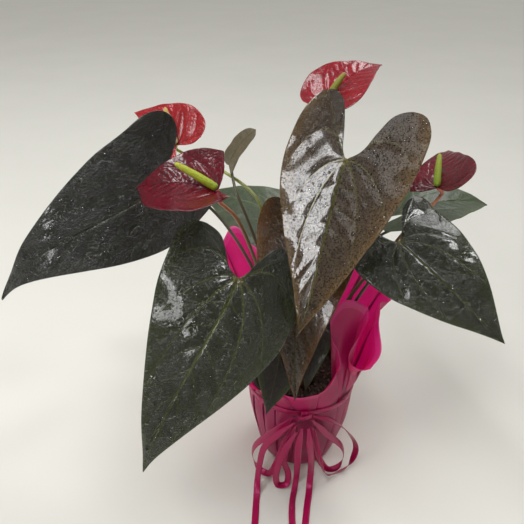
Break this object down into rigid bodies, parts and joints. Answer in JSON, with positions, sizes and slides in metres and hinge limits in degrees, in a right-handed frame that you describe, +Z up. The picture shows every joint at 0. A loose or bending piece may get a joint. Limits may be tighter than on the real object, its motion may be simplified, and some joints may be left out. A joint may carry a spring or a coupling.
{
  "type": "potted anthurium",
  "caption": "Dark-leaved flamingo flower in a plastic nursery pot, wrapped in gathered pink film tied at the waist with a satin bow whose tails trail on the floor.",
  "frame": {"origin": "centre of the flat base that the wrapped pot stands on", "axes": "+Z up out of the pot; -Y is the front, the side of the bow; +X is to the right seen from the front"},
  "size_m": [0.591, 0.4104, 0.4572],
  "materials": {
    "pot_plastic": "matte dark brown",
    "mix": "crumbly peat and bark",
    "crown_tissue": "dull plant tissue",
    "film": "matte translucent film with a paler border",
    "satin": "satin",
    "leaf_dark": "waxy leaf, wet with drops",
    "leaf_bronze": "waxy leaf, wet with drops",
    "leaf_dull": "dull leaf underside",
    "spathe_red": "waxy bract",
    "spathe_wine": "waxy bract",
    "spadix_yellow": "fine bumpy skin",
    "stem_brown": "smooth stalk",
    "stem_green": "smooth stalk"
  },
  "bodies": {
    "root": {"nursery_pot": "pot_plastic", "potting_mix": "mix", "crown": "crown_tissue", "gift_wrap": "film", "ribbon_band": "satin", "ribbon_knot": "satin", "ribbon_loop_right_inner": "satin", "ribbon_loop_right_outer": "satin", "ribbon_loop_left_outer": "satin", "ribbon_loop_left_inner": "satin", "ribbon_tail_left": "satin", "ribbon_tail_middle": "satin", "ribbon_tail_right": "satin", "leaf_left": "leaf_dark", "leaf_front": "leaf_dark", "leaf_tall": "leaf_bronze", "leaf_right": "leaf_dark", "leaf_back_right": "leaf_dull", "leaf_back": "leaf_dull", "leaf_middle": "leaf_bronze", "leaf_low": "leaf_dark", "leaf_small": "leaf_dark", "leaf_young": "leaf_dull", "petiole_left": "stem_brown", "petiole_front": "stem_brown", "petiole_tall": "stem_brown", "petiole_right": "stem_brown", "petiole_back_right": "stem_brown", "petiole_back": "stem_brown", "petiole_middle": "stem_brown", "petiole_low": "stem_brown", "petiole_small": "stem_brown", "petiole_young": "stem_brown", "spathe_back_left": "spathe_red", "spathe_left": "spathe_wine", "spathe_top": "spathe_red", "spathe_right": "spathe_wine", "spadix_back_left": "spadix_yellow", "spadix_left": "spadix_yellow", "spadix_top": "spadix_yellow", "spadix_right": "spadix_yellow", "peduncle_back_left": "stem_green", "peduncle_left": "stem_green", "peduncle_top": "stem_green", "peduncle_right": "stem_green"}
  },
  "joints": []
}
